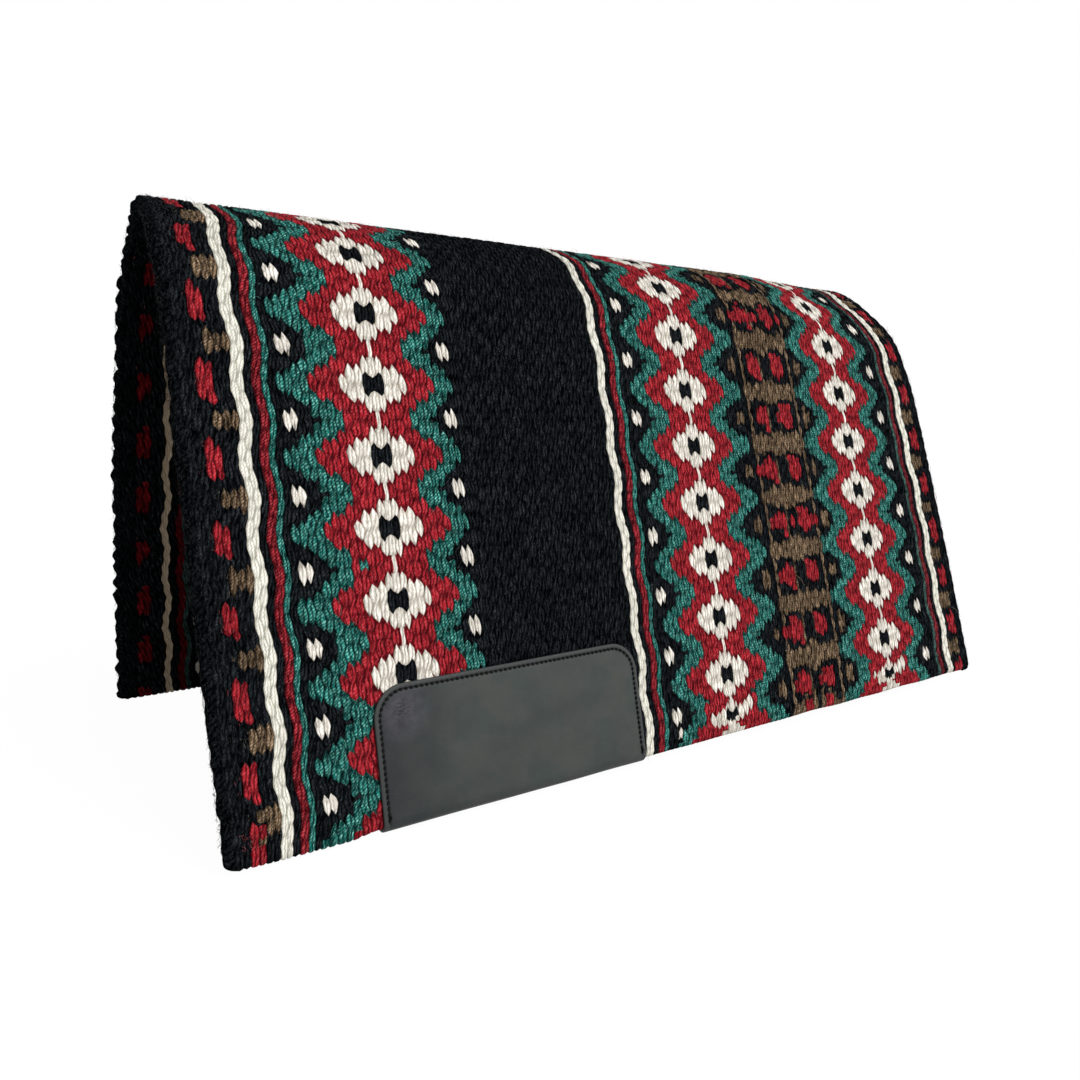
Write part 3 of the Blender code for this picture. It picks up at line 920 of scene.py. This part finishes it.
def wearLeather(name, side):
    width, length, corner, thick = leather["width"], leatherLength, leather["corner"], leather["thick"] / 2
    # lines of points close together along the rim, then wider apart
    rim = [0.0, 0.00025, 0.0006, 0.0012, 0.0022, 0.0032, 0.0037, 0.0042, 0.0047, 0.0052, 0.0065]
    toMiddle = rim + [*np.linspace(rim[-1], width / 2, 34)][1:]
    toFold = rim + [*np.linspace(rim[-1], corner, 8)][1:] + [*np.linspace(corner, length / 2, 40)][1:]
    x = np.array(toMiddle + [width - value for value in toMiddle[-2::-1]])
    v = np.array(toFold + [length - value for value in toFold[-2::-1]])
    # the corners are round: each row is narrower there
    fromEnd = np.minimum(v, length - v)
    cut = np.where(fromEnd < corner, corner - np.sqrt(np.maximum(corner**2 - (corner - fromEnd) ** 2, 0)), 0)
    share = x / width
    warp = cut[None, :] * (1 - 2 * share[:, None]) * np.exp(-np.minimum(x, width - x)[:, None] / 0.05)
    xs = x[:, None] + warp
    vs = np.broadcast_to(v, xs.shape)
    dx, dv = np.minimum(xs, width - xs), np.minimum(vs, length - vs)
    inCorner = (dx < corner) & (dv < corner)
    toEdge = np.where(inCorner, corner - np.hypot(corner - dx, corner - dv), np.minimum(dx, dv))
    toEdge = np.maximum(toEdge, 0)
    # a rounded edge, and the groove that the seam lies in
    rounding = 1 - 0.55 * (1 - np.sqrt(np.clip(1 - (1 - np.clip(toEdge / 0.0011, 0, 1)) ** 2, 0, 1)))
    sewn = dv < leatherStraight + 0.003
    seam = leather["seamDepth"] * bump(toEdge, leather["seamInset"], 0.00062)
    w = thick * rounding + np.where(sewn, 0.00012 * bump(toEdge, 0.0022, 0.0012) - seam, 0)
    w = w + wobble("leather", xs * 1000, vs * 1000)
    points = []
    for height in (w, -thick * rounding):
        s, h = roundHem(hang["drop"][side], vs, height)
        points.append(drape(side, leather["start"] + xs, s, h).reshape(-1, 3))
    rims = smooth((leather["seamInset"] + 0.0004 - toEdge) / 0.0012)
    # where the leather is darkened: painted shade in the seam groove, and a darker line along the cut edge
    grooveShades = bump(toEdge, leather["seamInset"], 0.0007) * sewn + 0.5 * (toEdge < 0.0004)
    nx, ny = xs.shape
    faces = []

    def addFace(corners, forward=True):
        # a corner is its place along and down, and 0 or 1 for the outer or inner face
        face = tuple(inner * nx * ny + i * ny + j for i, j, inner in corners)
        faces.append(face if forward else face[:1] + face[:0:-1])

    for i in range(nx - 1):
        for j in range(ny - 1):
            for inner in (0, 1):
                addFace(((i, j, inner), (i, j + 1, inner), (i + 1, j + 1, inner), (i + 1, j, inner)), not inner)
    for i in range(nx - 1):
        for j, forward in ((0, True), (ny - 1, False)):
            addFace(((i, j, 0), (i + 1, j, 0), (i + 1, j, 1), (i, j, 1)), forward)
    for j in range(ny - 1):
        for i, forward in ((0, False), (nx - 1, True)):
            addFace(((i, j, 0), (i, j + 1, 0), (i, j + 1, 1), (i, j, 1)), forward)
    if side == off:
        faces = [face[::-1] for face in faces]
    piece = addPiece(name, np.concatenate(points).tolist(), faces, [leatherPaint])
    cutAt = np.tile(np.stack([xs, vs], -1).reshape(-1, 2), (2, 1))
    addFlat(piece.data, "cut", cutAt[cornersOf(piece.data)])
    addValues(piece.data, "rim", "POINT", np.tile(rims.ravel(), 2))
    addValues(piece.data, "grooveShade", "POINT", np.tile(grooveShades.ravel(), 2))
    print(name, "cut and folded:", len(faces), "faces")
    return piece


def threadMaterial():
    material = bpy.data.materials.new("seam_thread")
    n = Nodes(material)
    place = n.add("TexCoord").outputs["Object"]
    bands = {"wave_type": "BANDS", "bands_direction": "DIAGONAL"}
    wave = n.add("TexWave", bands, Vector=place, Scale=900.0, Distortion=1.0).outputs["Fac"]
    n.coat(n.mix(wave, linear(3, 3, 4), linear(16, 16, 18)), 0.7, 0.15, wave, 0.5, 0.0002)
    return material


leatherPaint, threadPaint = leatherMaterial(), threadMaterial()


def seamPath(outer):
    # the seam line in the flat leather, from one lower end up, across the top and down, as dense points
    width, corner, inset = leather["width"], leather["corner"], leather["seamInset"]
    low = leather["height"] - leather["seamEnd"]
    radius = corner - inset
    turns = [(radius * math.cos(t), corner - radius * math.sin(t)) for t in np.linspace(0, math.pi / 2, 24)]
    path = [(inset, v) for v in np.linspace(low, corner, 60)]
    path += [(corner - x, v) for x, v in turns[1:]]
    path += [(x, inset) for x in np.linspace(corner, width - corner, 160)[1:]]
    path += [(width - corner + x, v) for x, v in turns[-2::-1]]
    path += [(width - inset, v) for v in np.linspace(corner, low, 60)[1:]]
    path = np.array(path)
    if not outer:
        path[:, 1] = leatherLength - path[:, 1]
    return path


def stitches(name, side, outer):
    path = seamPath(outer)
    lengths = np.concatenate([[0], np.cumsum(np.hypot(*np.diff(path, axis=0).T))])
    count = int(lengths[-1] / leather["stitch"])
    step = lengths[-1] / count
    points, faces = [], []
    rings, sides = 7, 6
    along = np.linspace(-1, 1, rings)
    bow = np.sin(np.linspace(0, math.pi, rings)) ** 0.5
    fat = leather["thread"] * (0.55 + 0.45 * bow)
    rise = leather["thick"] / 2 - leather["seamDepth"] + leather["thread"] * (1.6 * bow - 0.6)
    around = [(1.15 * math.cos(turn), math.sin(turn)) for turn in (2 * math.pi * a / sides for a in range(sides))]
    for k in range(count + 4):
        backtack = k >= count    # two stitches over the last ones at each end
        start = k * step if not backtack else (0.4 * step if k % 2 else lengths[-1] - 1.4 * step)
        t = np.linspace(start + 0.06 * step, start + 0.94 * step, rings)
        x, v = np.interp(t, lengths, path[:, 0]), np.interp(t, lengths, path[:, 1])
        aside = np.array([v[0] - v[-1], x[-1] - x[0]]) / math.hypot(v[0] - v[-1], x[-1] - x[0]) * leather["slant"]
        x, v = x + aside[0] * along + (leather["besides"] if backtack else 0), v + aside[1] * along
        line, above = (
            drape(side, leather["start"] + x, *roundHem(hang["drop"][side], v, height))
            for height in (rise, rise + 0.001))
        tangent, up = unit(np.gradient(line, axis=0)), unit(above - line)
        across = np.cross(tangent, up)
        base = len(points)
        for j in range(rings):
            points += [line[j] + fat[j] * (wide * across[j] + high * up[j]) for wide, high in around]
        for low in range(base, base + (rings - 1) * sides, sides):
            for a in range(sides):
                b = (a + 1) % sides
                faces.append((low + a, low + b, low + sides + b, low + sides + a))
        faces.append(tuple(base + a for a in range(sides))[::-1])
        faces.append(tuple(base + (rings - 1) * sides + a for a in range(sides)))
    print(name, "sewn:", count, "stitches")
    return addPiece(name, [tuple(point) for point in points], faces, [threadPaint])


def unit(vectors):
    return vectors / np.linalg.norm(vectors, axis=-1, keepdims=True)


sewn = {}
for side, label in ((near, "near"), (off, "off")):
    sewn[side] = [
        wearLeather(label + "_leather", side),
        stitches(label + "_needle_stitches", side, True),
        stitches(label + "_bobbin_stitches", side, False),
    ]

# Stray wool on the faces and edges
fuzz = {
    "count": 4600,
    "edgeCount": {near: 4400, off: 2600},
    "borderCount": 1300,
    "long": (0.0020, 0.0058),
    "thin": 0.00009,
    "thick": 0.00014,
    "pastEdge": 0.0042,
    "seed": 17,
}


def fuzzMaterial(name, colour):
    material = bpy.data.materials.new(name)
    n = Nodes(material)
    tint = n.noise(n.add("TexCoord").outputs["Object"], 300.0, 1.0)
    n.coat(n.mix(tint, linear(*[c * 0.6 for c in colour]), linear(*colour)), 0.9, 0.5)
    return material


fuzzPaints = {}
for name in ("black", "teal", "red", "cream", "brown"):
    darker = 0.72 if name == "black" else 1
    fuzzPaints[name] = fuzzMaterial("stray_" + name, [c * darker for c in yarns[name]["fleckHighlight"]])
fuzzNames = list(fuzzPaints)
sameAs = {"eye": "black", "dullTeal": "teal", "dullRed": "red", "ropeRed": "red", "ropeCream": "cream"}

# Ends of yarn that have worked loose on the near side: column, pick, yarn, length, thickness,
# and which way they head and bend, along the spine and down
yarnEnds = [
    (136.4, 67.6, "cream", 0.0105, 0.00055, (0.9, 0.5), (0.5, -1.0)),
    (98.2, 52.0, "brown", 0.012, 0.00022, (0.8, 0.5), (-0.6, 0.9)),
    (91.5, 35.6, "brown", 0.010, 0.00022, (-0.5, 0.9), (0.9, 0.2)),
    (105.2, 66.4, "brown", 0.012, 0.00024, (0.7, -0.6), (0.4, 0.9)),
    (139.6, 26.2, "brown", 0.014, 0.0002, (-0.6, -0.7), (0.9, -0.4)),
    (140.2, 61.4, "brown", 0.013, 0.0002, (0.8, 0.1), (-0.2, 1.0)),
]
# where a fibre grows
onOuter, onInner, onFront, onRear, onHem, onCrest, onBorder, onEnd = range(8)


def fuzzPaint(x, place):
    # a fibre has the colour of the yarn that it grows from
    column = max(min(int(np.searchsorted(edgesAcross, x)), weave["columns"]) - 1, 0)
    cell = min(max(int((place - rows[0]) * 2), 0), len(cellMiddles) - 1)
    yarn = outerColumns[column]["cells"][1][cell]
    return fuzzNames.index(sameAs.get(yarn, yarn))


def strayWool(name, side, seed):
    dice = np.random.default_rng(seed)
    drop = hang["drop"][side]
    loose = yarnEnds if side == near else []
    where = np.concatenate([
        dice.choice([onOuter, onInner], fuzz["count"], p=[0.8, 0.2]),
        dice.choice([onFront, onRear, onHem, onCrest], fuzz["edgeCount"][side], p=[0.34, 0.28, 0.2, 0.18]),
        np.full(fuzz["borderCount"], onBorder),
        np.full(len(loose), onEnd)])
    total = len(where)
    outer = np.where(where == onHem, drop - 0.003, dice.uniform(0.002, drop - 0.004, total))
    outer = np.where(where == onCrest, np.abs(dice.normal(0, 0.05, total)), outer)
    inBorder = np.abs(dice.normal(0, 0.011, total))
    anywhere = dice.uniform(0.001, spine - 0.001, total)
    u = np.select([where == onFront, where == onRear, where == onBorder], [0.0, spine, inBorder], anywhere)
    for row, (column, place, *_) in enumerate(loose, total - len(loose)):
        u[row] = np.interp(column, columnLines, edgesAcross)
        outer[row] = (place + weave["start"]) * weave["pick"]
    face = half + weave["proud"] - 0.0006
    inEdge = dice.uniform(-0.95, 0.95, total) * half
    h = np.select([where == onInner, (where >= onFront) & (where <= onHem)], [-face, inEdge], face)
    keep = underLeather(u, outer, drop) < 0.01
    where, outer, u, h = where[keep], outer[keep], u[keep], h[keep]
    total = len(u)
    inwards, sag = drawnIn(side, u, outer)
    u, h = u + inwards, h - sag
    s = middleOf(side, u, outer)
    root = drape(side, u, s, h)
    # out of the face or edge that it grows from, down the flap and along the spine
    outAxis = unit(drape(side, u, s, h + 0.001) - root) * np.where(where == onInner, -1, 1)[:, None]
    downAxis = unit(drape(side, u, s + 0.001, h) - root)
    sideAxis = np.tile([1.0, 0, 0], (total, 1))
    end = np.select([where == onFront, where == onRear], [-1.0, 1.0], 0)[:, None]
    outAxis = np.where((where == onHem)[:, None], downAxis, np.where(end != 0, sideAxis * end, outAxis))
    # the edges are round, and the few fibres that the sag takes off the rear one are left out
    room = (1 - 0.9 * (h / half) ** 2)[:, None]
    root = root + outAxis * np.where(end != 0, fuzz["pastEdge"] * np.sqrt(np.abs(room)), 0)
    grown = ((end == 0) | (room >= 0))[:, 0]
    shorter = np.select([where <= onInner, where == onFront, where == onBorder], [0.75, 0.42, 0.6], 1.0)[:, None]
    long = dice.uniform(*fuzz["long"], (total, 1)) * shorter
    either = lambda most: dice.normal(0, most, (total, 1))
    between = lambda least, most: dice.uniform(least, most, (total, 1))
    heading = unit(downAxis * either(1) + sideAxis * either(0.6) + outAxis * between(0.05, 0.6))
    bend = outAxis * between(-0.9, 0.3) + sideAxis * either(0.7) + downAxis * either(0.9)
    thin = np.where((where <= onInner) | (where == onBorder), fuzz["thin"], fuzz["thick"])[:, None]
    paint = [fuzzPaint(x, place) for x, place in zip(u, -side * outer / weave["pick"] - weave["start"])]
    for row, (_, _, yarn, longEnd, thickEnd, way, turn) in enumerate(loose, total - len(loose)):
        long[row], thin[row], paint[row] = longEnd, thickEnd, fuzzNames.index(yarn)
        heading[row] = way[0] * sideAxis[row] + way[1] * downAxis[row] + 0.35 * outAxis[row]
        bend[row] = turn[0] * sideAxis[row] + turn[1] * downAxis[row] - 0.2 * outAxis[row]
    # each fibre has three sides and tapers over three lengths
    rings = []
    for t in (0, 1 / 3, 2 / 3, 1):
        centre = root + long * (heading * t + bend * 0.5 * t * t)
        for angle in (0.0, 2.0944, 4.1888):
            rings.append(centre + thin * (1 - 0.55 * t) * (math.cos(angle) * outAxis + math.sin(angle) * sideAxis))
    points = np.stack(rings, 1)[grown]
    one = [(3 * j + a, 3 * j + b, 3 * j + 3 + b, 3 * j + 3 + a) for j in range(3) for a, b in ((0, 1), (1, 2), (2, 0))]
    faces = (np.array(one)[None] + len(rings) * np.arange(len(points))[:, None, None]).reshape(-1, 4)
    print(name, "grown:", len(points), "fibres")
    paint = np.repeat(np.array(paint)[grown], len(one))
    return addPiece(name, points.reshape(-1, 3).tolist(), faces.tolist(), fuzzPaints.values(), paint)


strays = {
    near: strayWool("near_stray_wool", near, fuzz["seed"]),
    off: strayWool("off_stray_wool", off, fuzz["seed"] + 1),
}

# What moves with what
for side, label, cloth in ((near, "near", nearHalf), (off, "off", offHalf)):
    for piece in (cloth, strays[side]):
        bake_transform(piece)
    for piece in sewn[side]:
        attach(piece, label + "_flap")
    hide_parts("woven_spine", "woven_" + label + "_flap")
    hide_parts(label + "_wear_leather")
    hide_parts(label + "_needle_thread")
    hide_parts(label + "_bobbin_thread")
print("pieces fastened to their bodies")

# Floor, light and camera
studio = {
    "floorZ": -0.4450,
    "floorSize": 14.0,
    "floorColour": (0.95, 0.95, 0.95, 1),
    "floorShare": 0.95,
    "floorGlow": 1.02,
    "world": 0.15,
    "lens": 28.439,
    "eye": (-0.5237, -0.7136, -0.1470),
    "yaw": 0.5986,
    "pitch": -0.1439,
}
lamps = {
    # name: the way it shines, how wide it looks from here in degrees, strength
    "key": ((-0.2, 0.85, -0.65), 42, 2.55),
    "fill": ((-0.6, 0.9, -0.3), 60, 0.9),
    "back": ((0.2, -0.97, -0.12), 40, 2.3),
}
white = (1, 1, 1, 1)


def studioFloor():
    material = bpy.data.materials.new("pale_floor")
    n = Nodes(material)
    share = n.times(n.seen(), studio["floorShare"])
    plain = n.add("BsdfDiffuse", Color=studio["floorColour"])
    glow = n.add("Emission", Color=white, Strength=studio["floorGlow"])
    n.add("OutputMaterial", Surface=n.add("MixShader", None, (share, plain, glow)))
    size, z = studio["floorSize"], studio["floorZ"]
    corners = [(-size, -size, z), (size, -size, z), (size, size, z), (-size, size, z)]
    addPiece("studio_floor", corners, [(0, 1, 2, 3)], [material])


def studioWorld():
    world = bpy.data.worlds.new("studio_world")
    bpy.context.scene.world = world
    n = Nodes(world)
    strength = n.spread(n.seen(), 0.0, 1.0, studio["world"], 1.0)
    n.add("OutputWorld", Surface=n.add("Background", Color=white, Strength=strength))


def studioLamps():
    for name, (way, wide, strength) in lamps.items():
        lamp = bpy.data.lights.new("soft_" + name, "SUN")
        lamp.angle, lamp.energy = math.radians(wide), strength
        holder = link(bpy.data.objects.new("soft_" + name, lamp))
        holder.rotation_euler = Vector(way).to_track_quat("-Z", "Y").to_euler()


def studioCamera():
    camera = bpy.data.cameras.new("studio_camera")
    camera.sensor_width, camera.lens = 36.0, studio["lens"]
    camera.clip_start, camera.clip_end = 0.02, 60
    yaw, pitch = studio["yaw"], studio["pitch"]
    ahead = Vector((math.sin(yaw) * math.cos(pitch), math.cos(yaw) * math.cos(pitch), math.sin(pitch)))
    right = Vector((math.cos(yaw), -math.sin(yaw), 0))
    turn = Matrix((right, right.cross(ahead), -ahead)).transposed().to_4x4()
    holder = link(bpy.data.objects.new("studio_camera", camera))
    holder.matrix_world = Matrix.Translation(Vector(studio["eye"])) @ turn
    bpy.context.scene.camera = holder


studioFloor()
studioWorld()
studioLamps()
studioCamera()
bpy.context.scene.view_settings.view_transform = "Standard"
print("studio set")
